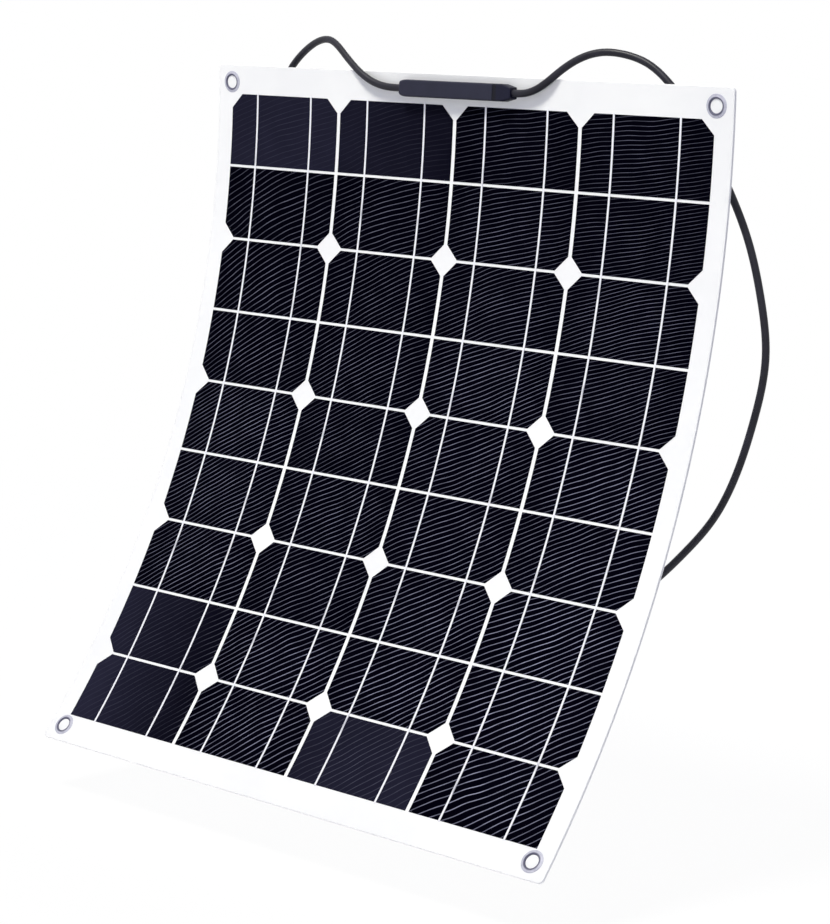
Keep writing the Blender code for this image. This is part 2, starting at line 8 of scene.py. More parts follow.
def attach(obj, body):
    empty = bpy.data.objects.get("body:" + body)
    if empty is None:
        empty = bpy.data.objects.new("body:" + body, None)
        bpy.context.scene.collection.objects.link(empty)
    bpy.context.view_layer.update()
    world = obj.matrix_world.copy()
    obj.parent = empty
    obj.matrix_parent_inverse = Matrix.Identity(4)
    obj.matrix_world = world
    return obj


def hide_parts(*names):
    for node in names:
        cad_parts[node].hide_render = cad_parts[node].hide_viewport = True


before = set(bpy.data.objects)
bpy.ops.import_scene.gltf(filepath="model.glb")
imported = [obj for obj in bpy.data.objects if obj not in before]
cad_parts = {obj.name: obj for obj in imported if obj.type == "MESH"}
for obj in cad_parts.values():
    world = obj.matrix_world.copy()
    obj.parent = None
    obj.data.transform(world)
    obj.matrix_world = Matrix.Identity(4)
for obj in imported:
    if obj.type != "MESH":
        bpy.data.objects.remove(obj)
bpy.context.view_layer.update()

scene = bpy.context.scene
scene.view_settings.view_transform = "Standard"


# Camera -----------------------------------------------------------------------------------------
# The sheet is seen from its right and a little above, through a long lens.  Place, heading and
# focal length were fitted to the corners of the cell grid, and leave a slight tilt of the horizon.

PHOTO_HEIGHT = 924
FOCAL_PIXELS = 2607.0
SENSOR = 36.0
CAMERA_PLACE = Vector((1.38239, -1.63421, 0.00765))
CAMERA_RIGHT = Vector((0.75218, 0.65730, 0.04667))
CAMERA_AHEAD = Vector((-0.64603, 0.74954, -0.14433))

camera_data = bpy.data.cameras.new("camera")
camera_data.sensor_width = SENSOR
camera_data.lens = FOCAL_PIXELS * SENSOR / PHOTO_HEIGHT
camera = bpy.data.objects.new("camera", camera_data)
scene.collection.objects.link(camera)
turn = Matrix((CAMERA_RIGHT, CAMERA_RIGHT.cross(CAMERA_AHEAD), -CAMERA_AHEAD)).transposed()
camera.matrix_world = Matrix.Translation(CAMERA_PLACE) @ turn.to_4x4()
scene.camera = camera


# Leads ------------------------------------------------------------------------------------------
# Round two-layer solar cable, 6 mm across, in a black jacket with a faint extruded grain.  Each is
# seated in one end of the junction box, arches over the top edge and hangs behind the sheet.

CABLE_DIAMETER = 0.0060
CABLE_SEAT = 0.0077
CABLE_STEP = 0.004
CABLE_BEVEL = 6
CONNECTOR_SEAT = 0.0300
CONNECTOR_STEP = 0.0150
LEFT_ROUTE = (
    (-0.0546, -0.00605, 0.0019),
    (-0.0660, -0.00605, 0.0019),
    (-0.0872, -0.00600, 0.0058),
    (-0.0991, -0.00560, 0.0113),
    (-0.1115, -0.00330, 0.0184),
    (-0.1250, 0.00000, 0.0270),
    (-0.1375, 0.00350, 0.0348),
    (-0.1500, 0.00700, 0.0392),
    (-0.1630, 0.01000, 0.0386),
    (-0.1774, 0.01300, 0.0335),
    (-0.1910, 0.01500, 0.0250),
    (-0.2025, 0.01650, 0.0145),
    (-0.2160, 0.01800, -0.0080),
    (-0.2300, 0.02000, -0.0420),
    (-0.2400, 0.02200, -0.0900),
    (-0.2420, 0.02300, -0.1500),
    (-0.2330, 0.02300, -0.2100),
    (-0.2130, 0.02300, -0.2700),
    (-0.1850, 0.02300, -0.3250),
    (-0.1560, 0.02300, -0.3730),
    (-0.1320, 0.02300, -0.4150),
    (-0.1180, 0.02300, -0.4480),
)
RIGHT_ROUTE = (
    (0.0639, -0.00605, 0.0019),
    (0.0770, -0.00605, 0.0026),
    (0.0886, -0.00600, 0.0067),
    (0.0975, -0.00550, 0.0123),
    (0.1062, -0.00370, 0.0195),
    (0.1151, -0.00140, 0.0263),
    (0.1240, 0.00120, 0.0316),
    (0.1342, 0.00400, 0.0354),
    (0.1466, 0.00700, 0.0370),
    (0.1590, 0.01000, 0.0359),
    (0.1790, 0.01400, 0.0297),
    (0.1992, 0.01700, 0.0148),
    (0.2300, 0.01900, -0.0210),
    (0.2587, 0.02000, -0.0641),
    (0.2778, 0.02000, -0.0991),
    (0.2930, 0.02000, -0.1431),
    (0.3005, 0.02000, -0.1850),
    (0.2938, 0.02000, -0.2343),
    (0.2793, 0.02000, -0.2824),
    (0.2615, 0.02000, -0.3169),
    (0.2400, 0.02000, -0.3430),
    (0.2182, 0.02000, -0.3654),
    (0.1960, 0.02000, -0.3850),
    (0.1700, 0.02000, -0.4050),
    (0.1480, 0.02000, -0.4240),
    (0.1320, 0.02000, -0.4440),
)


def smooth_route(points, spacing):
    """Points one spacing apart on the natural cubic spline through the route's points.

    The bends (second derivatives) at the knots solve the usual tridiagonal system, with none at
    the two ends; between knots the curve is the cubic that those bends and the knots give.
    """
    knots = np.array(points, float)
    lengths = np.linalg.norm(np.diff(knots, axis=0), axis=1)
    stops = np.concatenate([[0.0], np.cumsum(lengths)])
    count = len(knots)
    system = np.eye(count)
    right = np.zeros((count, 3))
    for i in range(1, count - 1):
        before, after = lengths[i - 1], lengths[i]
        system[i, i - 1 : i + 2] = before, 2 * (before + after), after
        right[i] = 6 * ((knots[i + 1] - knots[i]) / after - (knots[i] - knots[i - 1]) / before)
    bends = np.linalg.solve(system, right)
    places = np.linspace(0, stops[-1], round(stops[-1] / spacing) + 1)
    spans = np.clip(np.searchsorted(stops, places, side="right") - 1, 0, count - 2)
    width = lengths[spans][:, None]
    ahead = places[:, None] - stops[spans][:, None]
    left = width - ahead
    curve = (bends[spans] * left**3 + bends[spans + 1] * ahead**3) / (6 * width)
    curve += (knots[spans] / width - bends[spans] * width / 6) * left
    curve += (knots[spans + 1] / width - bends[spans + 1] * width / 6) * ahead
    return curve


def way_at_end(route):
    """The unit vector along which the lead enters its connector, over the last 15 mm."""
    way = np.diff(smooth_route(route, CONNECTOR_STEP)[-2:], axis=0)[0]
    return way / np.linalg.norm(way)


class Wire:
    """One output socket of a material; arithmetic on it adds Math nodes."""

    def __init__(self, tree, socket):
        self.tree = tree
        self.socket = socket

    def make(self, kind, settings=None, inputs=None, output=0):
        """Adds a node of a type: its settings first, then a value or a wire for each input."""
        node = self.tree.nodes.new(kind)
        for key, value in (settings or {}).items():
            setattr(node, key, value)
        for key, value in (inputs or {}).items():
            if isinstance(value, Wire):
                self.tree.links.new(value.socket, node.inputs[key])
            else:
                node.inputs[key].default_value = value
        return Wire(self.tree, node.outputs[output])

    def maths(self, operation, *values):
        """A Math node on numbers or wires."""
        return self.make("ShaderNodeMath", {"operation": operation}, dict(enumerate(values)))

    def __add__(self, other):
        return self.maths("ADD", self, other)

    __radd__ = __add__

    def __mul__(self, other):
        return self.maths("MULTIPLY", self, other)

    __rmul__ = __mul__

    def __sub__(self, other):
        return self.maths("SUBTRACT", self, other)

    def __rsub__(self, other):
        return self.maths("SUBTRACT", other, self)

    def __truediv__(self, other):
        return self.maths("DIVIDE", self, other)

    def __pow__(self, other):
        return self.maths("POWER", self, other)

    def sine(self):
        return self.maths("SINE", self)

    def floor(self):
        return self.maths("FLOOR", self)

    def step(self, low, high):
        """Rises smoothly from 0 at low to 1 at high."""
        settings = {"interpolation_type": "SMOOTHSTEP"}
        inputs = {"Value": self, "From Min": low, "From Max": high}
        return self.make("ShaderNodeMapRange", settings, inputs)

    def blend(self, low, high):
        """A colour between two, with this wire as the share of the second."""
        inputs = {0: self, 6: low, 7: high}
        settings = {"data_type": "RGBA"}
        return self.make("ShaderNodeMix", settings, inputs, 2)

    def part(self, index):
        """One coordinate of a vector wire."""
        return self.make("ShaderNodeSeparateXYZ", None, {0: self}, index)

    def noise(self, scale, detail, stretch=(1, 1, 1)):
        """Noise read at this vector, about 0.5 on average."""
        placed = self.make("ShaderNodeMapping", None, {"Vector": self, "Scale": stretch})
        inputs = {"Vector": placed, "Scale": scale, "Detail": detail}
        return self.make("ShaderNodeTexNoise", None, inputs)


def start_material(name, **fixed):
    """A Principled material with fixed values, its shader, and wires for where a point lies."""
    made = bpy.data.materials.new(name)
    made.use_nodes = True
    tree = made.node_tree
    shader = tree.nodes["Principled BSDF"]
    for key, value in fixed.items():
        shader.inputs[key.replace("_", " ")].default_value = value
    places = tree.nodes.new("ShaderNodeTexCoord")
    return made, shader, Wire(tree, places.outputs["Object"]), Wire(tree, places.outputs["UV"])


def feed(wire, shader, name):
    """Links a wire to one of the shader's inputs."""
    wire.tree.links.new(wire.socket, shader.inputs[name])


def bump(height, shader, distance):
    """Height in shares of distance, in metres, as a Bump node on the shader's normal."""
    inputs = {"Height": height, "Distance": distance, "Strength": 1.0}
    feed(height.make("ShaderNodeBump", None, inputs), shader, "Normal")


def jacket_material():
    """Satin black PVC: dusty low spots, a fine grain, and a slightly uneven gloss."""
    made, shader, place, _ = start_material("cable jacket", Specular_IOR_Level=0.28)
    grain = place.noise(2600, 3)
    dust = place.noise(60, 3)
    colour = dust.step(0.35, 0.8).blend((0.0060, 0.0058, 0.0125, 1), (0.0130, 0.0126, 0.0230, 1))
    feed(colour, shader, "Base Color")
    feed(0.34 + 0.18 * dust, shader, "Roughness")
    bump(grain, shader, 0.00004)
    return made


def add_lead(name, node, route, into_box, material):
    """The lead's centreline: a straight seat in the box, the route, and a straight end in the nut."""
    curve = smooth_route(route, CABLE_STEP)
    seat = curve[0] + np.array([into_box * CABLE_SEAT, 0, 0])
    end = curve[-1] + way_at_end(route) * CONNECTOR_SEAT
    points = np.vstack([seat, curve, end])
    data = bpy.data.curves.new(name, "CURVE")
    data.dimensions = "3D"
    data.bevel_depth = CABLE_DIAMETER / 2
    data.bevel_resolution = CABLE_BEVEL
    data.use_fill_caps = True
    line = data.splines.new("POLY")
    line.points.add(len(points) - 1)
    line.points.foreach_set("co", np.hstack([points, np.ones((len(points), 1))]).ravel())
    line.use_smooth = True
    data.materials.append(material)
    lead = bpy.data.objects.new(name, data)
    scene.collection.objects.link(lead)
    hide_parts(node)
    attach(lead, "row_1")
    return lead, float(np.linalg.norm(np.diff(points, axis=0), axis=1).sum())


jacket = jacket_material()
left_lead, left_length = add_lead("lead_left", "left_lead", LEFT_ROUTE, 1, jacket)
right_lead, right_length = add_lead("lead_right", "right_lead", RIGHT_ROUTE, -1, jacket)


# Laminate ---------------------------------------------------------------------------------------
# A flexible sheet of white glass fibre board 2.5 mm thick, bent to one even curve.  Here it is nine
# strips that meet edge to edge, one to each row of cells, since the real sheet bends all the way.

ROWS = 9
COLUMNS = 4
SHEET_WIDTH = 0.5450
SHEET_THICKNESS = 0.0025
CORNER_RADIUS = 0.0040
SHEET_EDGE = 0.0003
BEND_RADIUS = 0.8290
BEND_CENTRE_Y = -0.82839
BEND_CENTRE_Z = -0.0410
ROW_ANGLE = radians(4.39675)
BORDER_REACH = 0.0555
EYELET_HOLE = 0.0130
EYELET_X = 0.2565
EYELET_REACH = 0.0410
ROW_PITCH = BEND_RADIUS * ROW_ANGLE
COLUMN_PITCH = 0.1286
WEAVE_PITCH = 0.0011
SHARP_EDGE = radians(40)
CORNER_POINTS = 9
STRIP_LINES = 34
STRIP_POINTS = 182
ROUND_STEPS = 72
HOLE_STEPS = 64


def on_curve(across, down, depth):
    """Points of the bent sheet: across is x, down is the arc length below the first row's middle,
    and depth is measured from the mid-plane towards the back, along the radius.
    """
    angle = down / BEND_RADIUS
    reach = BEND_RADIUS + depth
    y = BEND_CENTRE_Y + reach * np.cos(angle)
    z = BEND_CENTRE_Z - reach * np.sin(angle)
    return np.stack(np.broadcast_arrays(across, y, z), axis=-1)


def new_piece(name, points, faces, material, body, nodes=(), uv=None):
    """An object at the origin with its place in its mesh, riding on a body."""
    mesh = bpy.data.meshes.new(name)
    mesh.from_pydata(np.asarray(points, float).reshape(-1, 3), [], [tuple(f) for f in faces])
    mesh.materials.append(material)
    mesh.shade_smooth()
    mesh.set_sharp_from_angle(angle=SHARP_EDGE)
    if uv is not None:
        layer = mesh.uv_layers.new(name="surface")
        corners = np.empty(len(mesh.loops), np.int32)
        mesh.loops.foreach_get("vertex_index", corners)
        layer.data.foreach_set("uv", np.asarray(uv, float).reshape(-1, 2)[corners].ravel())
    piece = bpy.data.objects.new(name, mesh)
    scene.collection.objects.link(piece)
    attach(piece, body)
    if nodes:
        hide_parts(*nodes)
    return piece


def quads(rows, columns, wrap=False, start=0):
    """Corner numbers of the quads of a grid whose points are numbered row by row."""
    i, j = np.meshgrid(np.arange(rows - 1), np.arange(columns if wrap else columns - 1), indexing="ij")
    k = (j + 1) % columns
    corners = [i * columns + j, i * columns + k, (i + 1) * columns + k, (i + 1) * columns + j]
    return start + np.stack(corners, axis=-1).reshape(-1, 4)


def slab(downs, half_widths, near, far, edge, ease, columns):
    """A closed plate on the curve: a ring of points round its section, carried down the sheet.

    Half of the ring runs across the near face from u = -w(s) to w(s), turned over a small edge at
    each side, and the other half comes back along the far face.  ease draws both faces together
    by up to edge at the ends.  Returns the points, the faces and the (across, down) of each point.
    """
    turn = np.array([0, pi / 4, pi / 2])
    inset = edge * (1 - np.cos(turn))
    drop = edge * (1 - np.sin(turn))
    flat = np.linspace(0, 1, columns)[1:-1]
    widths = np.asarray(half_widths)[:, None]
    left = -widths + inset
    middle = (-widths + edge) + flat * 2 * (widths - edge)
    right = widths - inset[::-1]
    across = np.hstack([left, middle, right])
    drops = np.concatenate([drop, np.zeros(columns - 2), drop[::-1]])
    fall = np.maximum(drops, np.asarray(ease)[:, None])
    across = np.hstack([across, across[:, ::-1]])
    depth = np.hstack([near + fall, (far - fall)[:, ::-1]])
    down = np.broadcast_to(np.asarray(downs)[:, None], across.shape)
    points = on_curve(across, down, depth)
    rows, ring = across.shape
    half = ring // 2
    near_side = np.arange(half - 1)
    lid = np.stack([near_side, near_side + 1, ring - 2 - near_side, ring - 1 - near_side], axis=-1)
    faces = np.vstack([quads(rows, ring, wrap=True)[:, ::-1], lid, (lid + (rows - 1) * ring)[:, ::-1]])
    return points, faces, np.stack([across, down], axis=-1)


def rounded_end(reach):
    """How much a corner of radius r takes off, 0 to r, at a distance reach from the end."""
    return CORNER_RADIUS - np.sqrt(CORNER_RADIUS**2 - np.clip(CORNER_RADIUS - reach, 0, None) ** 2)


def eased_end(reach):
    """How much a small round edge takes off the face at a distance reach from the end."""
    return SHEET_EDGE - np.sqrt(SHEET_EDGE**2 - np.clip(SHEET_EDGE - reach, 0, None) ** 2)


def laminate_material():
    """White film over glass fibre: a satin face, faint cloudiness, and the fine print of the weave."""
    made, shader, place, surface = start_material("white laminate", Specular_IOR_Level=0.35)
    cloud = place.noise(9, 3)
    colour = cloud.step(0.3, 0.7).blend((0.805, 0.808, 0.812, 1), (0.845, 0.847, 0.842, 1))
    feed(colour, shader, "Base Color")
    feed(0.36 + 0.14 * place.noise(38, 2), shader, "Roughness")
    across, down = ((surface.part(i) * (tau / WEAVE_PITCH)).sine() for i in (0, 1))
    weave = across * down
    bump(weave * 0.35 + place.noise(160, 3), shader, 0.00008)
    return made


laminate_finish = laminate_material()


def add_laminate(row):
    """One strip of the sheet; the first and last also have the border, round corners and eyelets."""
    middle = (row - 1) * ROW_PITCH
    top = middle - (BORDER_REACH if row == 1 else ROW_PITCH / 2)
    bottom = middle + (BORDER_REACH if row == ROWS else ROW_PITCH / 2)
    fine = CORNER_RADIUS * (1 - np.cos(np.linspace(0, pi / 2, CORNER_POINTS)))
    fine = np.union1d(fine, SHEET_EDGE * np.array([0.15, 0.5, 1.0]))
    downs = np.linspace(top, bottom, STRIP_LINES)
    if row == 1:
        downs = np.union1d(top + fine, downs[downs > top + CORNER_RADIUS])
    if row == ROWS:
        downs = np.union1d(bottom - fine, downs[downs < bottom - CORNER_RADIUS])
    reach = CORNER_RADIUS
    if row == 1:
        reach = downs - top
    if row == ROWS:
        reach = bottom - downs
    widths = SHEET_WIDTH / 2 - rounded_end(reach) + 0 * downs
    ease = eased_end(reach) + 0 * downs
    half = SHEET_THICKNESS / 2
    points, faces, uv = slab(downs, widths, -half, half, SHEET_EDGE, ease, STRIP_POINTS)
    nodes = [f"laminate_row_{row}"]
    piece = new_piece(f"sheet_row_{row}", points, faces, laminate_finish, f"row_{row}", nodes, uv)
    if row in (1, ROWS):
        for side in (-1, 1):
            drill(piece, eyelet_seat(side, row))


def eyelet_seat(side, row):
    """The frame of an eyelet: its centre lies in the sheet's middle, and its y is square to that."""
    down = -EYELET_REACH if row == 1 else (row - 1) * ROW_PITCH + EYELET_REACH
    centre = Vector(on_curve(side * EYELET_X, down, 0.0))
    return Matrix.Translation(centre) @ Matrix.Rotation(-down / BEND_RADIUS, 4, "X")


def cut_away(piece, mesh):
    """Takes a closed mesh's volume out of a piece for good."""
    cutter = bpy.data.objects.new("cutter", mesh)
    scene.collection.objects.link(cutter)
    cut = piece.modifiers.new("cut", "BOOLEAN")
    cut.operation = "DIFFERENCE"
    cut.solver = "EXACT"
    cut.object = cutter
    scene.view_layers[0].update()
    graph = bpy.context.evaluated_depsgraph_get()
    made = bpy.data.meshes.new_from_object(piece.evaluated_get(graph), depsgraph=graph)
    piece.modifiers.remove(cut)
    old, piece.data = piece.data, made
    bpy.data.meshes.remove(old)
    bpy.data.objects.remove(cutter, do_unlink=True)


def drill(piece, seat):
    """Cuts an eyelet's round hole through the sheet, square to its face."""
    turns = np.linspace(0, tau, HOLE_STEPS, endpoint=False)
    ring = np.stack([EYELET_HOLE / 2 * np.cos(turns), EYELET_HOLE / 2 * np.sin(turns)], axis=-1)
    ends = np.array([-SHEET_THICKNESS, SHEET_THICKNESS])
    points = np.array([[(x, y, z) for x, z in ring] for y in ends])
    mesh = bpy.data.meshes.new("eyelet drill")
    faces = [tuple(f) for f in quads(2, HOLE_STEPS, wrap=True)]
    faces += [tuple(range(HOLE_STEPS))[::-1], tuple(range(HOLE_STEPS, 2 * HOLE_STEPS))]
    mesh.from_pydata(points.reshape(-1, 3), [], faces)
    mesh.transform(seat)
    cut_away(piece, mesh)


for row in range(1, ROWS + 1):
    add_laminate(row)


# Half cells -------------------------------------------------------------------------------------
# Thirty-six halves of 125 mm silicon wafers under a thin clear film, each row with its clipped
# corners on the other side from the last, so that two rows make up whole wafers.

CELL_WIDTH = 0.1250
CELL_HEIGHT = 0.0614
CELL_CHAMFER = 0.0118
CELL_PROUD = 0.00025
CELL_BURIED = 0.0001
CELL_EDGE = 0.0001
CELL_LINES = 23
CELL_POINTS = 44
LEAST_SPACING = 0.001
LINE_SHARPNESS = 40
FRONT = -SHEET_THICKNESS / 2
CLEAR = (0.0, 0.0)
# Cells greyed with their lines hidden: haze, and on the top-left cells painted sheen.
HAZE_AND_SHEEN_CELLS = {
    (1, 1): (1.0, 1.0),
    (1, 2): (0.7, 0.3),
    (8, 1): (0.95, 0.1),
    (9, 1): (1.3, 0.1),
    (9, 3): (0.8, 1.0),
}


def cell_material(name, haze_and_sheen):
    """Blue-black silicon with the fine wavy lines that the film's stretch leaves across each cell.

    The lines are crests of the sine of a phase, drawn thin by a high power.  The phase counts
    lines: 250 to the metre down the sheet at the top and fewer below, and 50 to 122 to the metre
    across it, so that the lines rise more steeply in the lower rows.  A slow wave and a little
    noise bend them, and each cell starts at a phase of its own.  Haze and painted sheen, given for
    the cell's left and right ends, grey it and hide its lines; on the top-left cells it is painted sheen.
    """
    made, shader, _, surface = start_material(name, Specular_IOR_Level=0.004)
    across = surface.part(0)
    down = surface.part(1)
    from_left = across / COLUMN_PITCH + COLUMNS / 2
    from_top = down / ROW_PITCH + 0.5
    column = from_left.floor()
    row = from_top.floor()
    cell = surface.make("ShaderNodeCombineXYZ", None, {0: column, 1: row, 2: 0.0})
    chance = cell.make("ShaderNodeTexWhiteNoise", None, {"Vector": cell})
    falling = down * 250 - down * down * down * 133
    rising = across * (50 + 72 * down.step(-0.06, 0.24)) - across * across * 35
    wave = 0.45 * (across * (tau / 0.16) + down * 11 + chance * tau).sine()
    wobble = surface.noise(24, 1)
    crest = (0.5 + 0.5 * ((falling + rising + wave + wobble + chance * 7) * tau).sine()) ** LINE_SHARPNESS
    along = 0.62 + 0.38 * surface.noise(60, 2).step(0.36, 0.62)
    lower = 0.42 + 0.28 * down.step(0.02, 0.20)
    corner = 0.45 * (across * 0.8 + down).step(0.34, 0.56)
    sideways = 2 * (from_left - column) - 1
    endways = 2 * (from_top - row) - 1
    middle = (1 - 0.45 * sideways * sideways) * (1 - 0.35 * endways * endways)
    share = crest * along * middle * (lower + corner) * (0.65 + 0.45 * chance)
    left, right = haze_and_sheen
    haze_and_sheen_share = left + (right - left) * (from_left - column)
    share = share * (1 - 0.85 * haze_and_sheen_share.step(0.0, 0.30))
    cloud = surface.noise(22, 3).step(0.35, 0.75)
    ground = cloud.blend((0.0003, 0.0002, 0.0024, 1), (0.0007, 0.0006, 0.0030, 1))
    # A lighter grey ground: haze, and on the top-left cells painted sheen.
    ground = (haze_and_sheen_share * (0.50 + 0.10 * cloud)).blend(ground, (0.0220, 0.0220, 0.0430, 1))
    feed(share.blend(ground, (0.40, 0.405, 0.55, 1)), shader, "Base Color")
    feed(0.30 + 0.16 * surface.noise(30, 2), shader, "Roughness")
    bump(surface.noise(70, 2), shader, 0.00010)
    return made


hazes_and_sheens = sorted({CLEAR, *HAZE_AND_SHEEN_CELLS.values()})
cell_finishes = {haze_and_sheen: cell_material("silicon cell {} to {}".format(*haze_and_sheen), haze_and_sheen) for haze_and_sheen in hazes_and_sheens}


def add_cell(row, column):
    """A plate on the sheet's curve, its half width drawn in over the chamfer at one end."""
    middle = (row - 1) * ROW_PITCH
    centre = (column - (COLUMNS + 1) / 2) * COLUMN_PITCH
    ends = np.array([-CELL_HEIGHT / 2, CELL_HEIGHT / 2])
    lines = np.linspace(*ends, CELL_LINES)
    upward = row % 2 == 1
    corner = ends[0] + CELL_CHAMFER if upward else ends[1] - CELL_CHAMFER
    lines = lines[np.abs(lines - corner) > LEAST_SPACING]
    lines = np.union1d(lines, [corner, *(ends + (CELL_EDGE, -CELL_EDGE))])
    reach = lines - ends[0] if upward else ends[1] - lines
    widths = CELL_WIDTH / 2 - np.clip(CELL_CHAMFER - reach, 0, None)
    ease = np.where(np.isin(lines, ends), CELL_EDGE, 0)
    near = FRONT - CELL_PROUD
    far = FRONT + CELL_BURIED + CELL_EDGE
    points, faces, uv = slab(middle + lines, widths, near, far, CELL_EDGE, ease, CELL_POINTS)
    points[..., 0] += centre
    uv[..., 0] += centre
    nodes = [f"half_cell_row_{row}_column_{column}"]
    finish = cell_finishes[HAZE_AND_SHEEN_CELLS.get((row, column), CLEAR)]
    new_piece(f"cell_{row}_{column}", points, faces, finish, f"row_{row}", nodes, uv)


for row in range(1, ROWS + 1):
    for column in range(1, COLUMNS + 1):
        add_cell(row, column)


# Ribbons ----------------------------------------------------------------------------------------
# Two tinned copper ribbons run down the front of each column of cells from the top cell to the
# last.  They are soldered flat under the film, and dull grey where flux has stained them.

RIBBON_WIDTH = 0.0018
RIBBON_SPACING = 0.0634
RIBBON_PROUD = 0.00045
RIBBON_EDGE = 0.00012
RIBBON_OVERRUN = 0.0008
RIBBON_LINES = 22
RIBBON_POINTS = 5


def ribbon_material():
    """Tin: pale and nearly matt under the film, with grey stains that follow the length."""
    made, shader, _, surface = start_material("tinned ribbon", Specular_IOR_Level=0.4)
    stain = surface.noise(26, 2, stretch=(6, 1, 1)).step(0.56, 0.74)
    colour = stain.blend((0.80, 0.80, 0.835, 1), (0.40, 0.40, 0.46, 1))
    feed(colour, shader, "Base Color")
    feed(0.34 + 0.2 * surface.noise(300, 2), shader, "Roughness")
    bump(surface.noise(700, 2), shader, 0.00003)
    return made


ribbon_finish = ribbon_material()


def add_ribbons(row):
    """The eight ribbon lengths of a row in one piece, each a thin plate on the sheet's curve."""
    middle = (row - 1) * ROW_PITCH
    overrun = CELL_HEIGHT / 2 + RIBBON_OVERRUN
    top = middle - (overrun if row == 1 else ROW_PITCH / 2)
    bottom = middle + (overrun if row == ROWS else ROW_PITCH / 2)
    downs = np.linspace(top, bottom, RIBBON_LINES)
    widths = np.full(len(downs), RIBBON_WIDTH / 2)
    near = FRONT - RIBBON_PROUD
    far = FRONT + CELL_BURIED
    ease = np.zeros(len(downs))
    points, faces, uv = slab(downs, widths, near, far, RIBBON_EDGE, ease, RIBBON_POINTS)
    count = points.shape[0] * points.shape[1]
    all_points, all_faces, all_uv = [], [], []
    for i in range(COLUMNS * 2):
        column, side = divmod(i, 2)
        x = (column - (COLUMNS - 1) / 2) * COLUMN_PITCH + (side - 0.5) * RIBBON_SPACING
        all_points.append(points.reshape(-1, 3) + (x, 0, 0))
        all_uv.append(uv.reshape(-1, 2) + (x, 0))
        all_faces.append(faces + i * count)
    points, faces, uv = np.vstack(all_points), np.vstack(all_faces), np.vstack(all_uv)
    new_piece(f"ribbons_row_{row}", points, faces, ribbon_finish, f"row_{row}", (), uv)


for row in range(1, ROWS + 1):
    add_ribbons(row)


# Eyelets ----------------------------------------------------------------------------------------
# A nickel-plated brass eyelet is rolled over a washer through each corner, to lash the sheet down.
# Each sits square to the curved sheet, in a hole 2 mm wider than its bore.

EYELET_BORE = 0.0110
EYELET_FLANGE = 0.0186
EYELET_DOME = 0.0011
EYELET_FLAT = 0.0004
ROLL_PLACE = 0.26
ROLL_SPREAD = 0.20
EYELET_WASHER = 0.0006
EYELET_SEAT = SHEET_THICKNESS / 2
EYELET_POINTS = 25


def turned(profile, steps):
    """Points (r cos t, h, r sin t) of a closed outline of (radius, height) turned about y."""
    turns = np.linspace(0, tau, steps, endpoint=False)
    outline = np.asarray(profile)
    radius, height = outline[:, 0][:, None], outline[:, 1][:, None]
    sheets = (radius * np.cos(turns), height + 0 * turns, radius * np.sin(turns))
    return np.stack(sheets, axis=-1)


def plated_material():
    """Dull nickel with a fine turned grain, and painted shade where the roll turns down into the bore.

    The piece's own map gives the share of the way from the bore to the rim.
    """
    made, shader, place, surface = start_material("plated eyelet", Metallic=0.2, Specular_IOR_Level=0.1)
    tarnish = place.noise(420, 3)
    outward = surface.part(1)
    flange = tarnish.step(0.40, 0.75).blend((0.49, 0.49, 0.57, 1), (0.39, 0.39, 0.47, 1))
    # Painted shade: a dark ring of colour where the bore's inner wall falls into shadow.
    painted_bore_shade = 1 - (outward + 0.10 * tarnish).step(0.32, 0.62)
    feed(painted_bore_shade.blend(flange, (0.110, 0.110, 0.160, 1)), shader, "Base Color")
    feed(0.42 + 0.20 * tarnish, shader, "Roughness")
    bump(place.noise(1500, 2), shader, 0.00003)
    return made


plated_finish = plated_material()


def add_eyelet(name, seat, body):
    """The rolled front flange, the barrel and the back washer, turned about the hole's axis.

    With v running from 0 at the bore to 1 at the rim, the front stands sqrt(1 - (2v - 1)^6) times
    a flat part plus a bell curve about v = ROLL_PLACE; the back is the same without the bell.
    """
    bore, flange = EYELET_BORE / 2, EYELET_FLANGE / 2
    outward = (1 - np.cos(np.linspace(0, pi, EYELET_POINTS))) / 2
    ends = np.sqrt(1 - (2 * outward - 1) ** 6)
    roll = np.exp(-(((outward - ROLL_PLACE) / ROLL_SPREAD) ** 2))
    front = -EYELET_SEAT - ends * (EYELET_FLAT + (EYELET_DOME - EYELET_FLAT) * roll)
    back = EYELET_SEAT + ends * EYELET_WASHER
    shares = np.concatenate([outward, outward[::-1]])
    profile = np.stack([bore + shares * (flange - bore), np.concatenate([front, back[::-1]])], axis=-1)
    points = turned(profile, ROUND_STEPS)
    faces = quads(len(profile) + 1, ROUND_STEPS, wrap=True) % (len(profile) * ROUND_STEPS)
    points = points.reshape(-1, 3) @ np.array(seat.to_3x3()).T + np.array(seat.translation)
    outward_map = np.tile(shares[:, None], ROUND_STEPS)
    uv = np.stack([np.zeros(outward_map.shape), outward_map], axis=-1)
    nodes = [f"eyelet_{name}"]
    new_piece(f"eyelet_ring_{name}", points, faces, plated_finish, body, nodes, uv)


for side, word in ((-1, "left"), (1, "right")):
    add_eyelet(f"top_{word}", eyelet_seat(side, 1), "row_1")
    add_eyelet(f"bottom_{word}", eyelet_seat(side, ROWS), f"row_{ROWS}")


# Junction box -----------------------------------------------------------------------------------
# A slim moulded box glued to the top border holds the bypass diode.  Its body has a rounded nose
# for the left lead; the end cap, a darker moulding, tapers to the right lead and is pushed on.

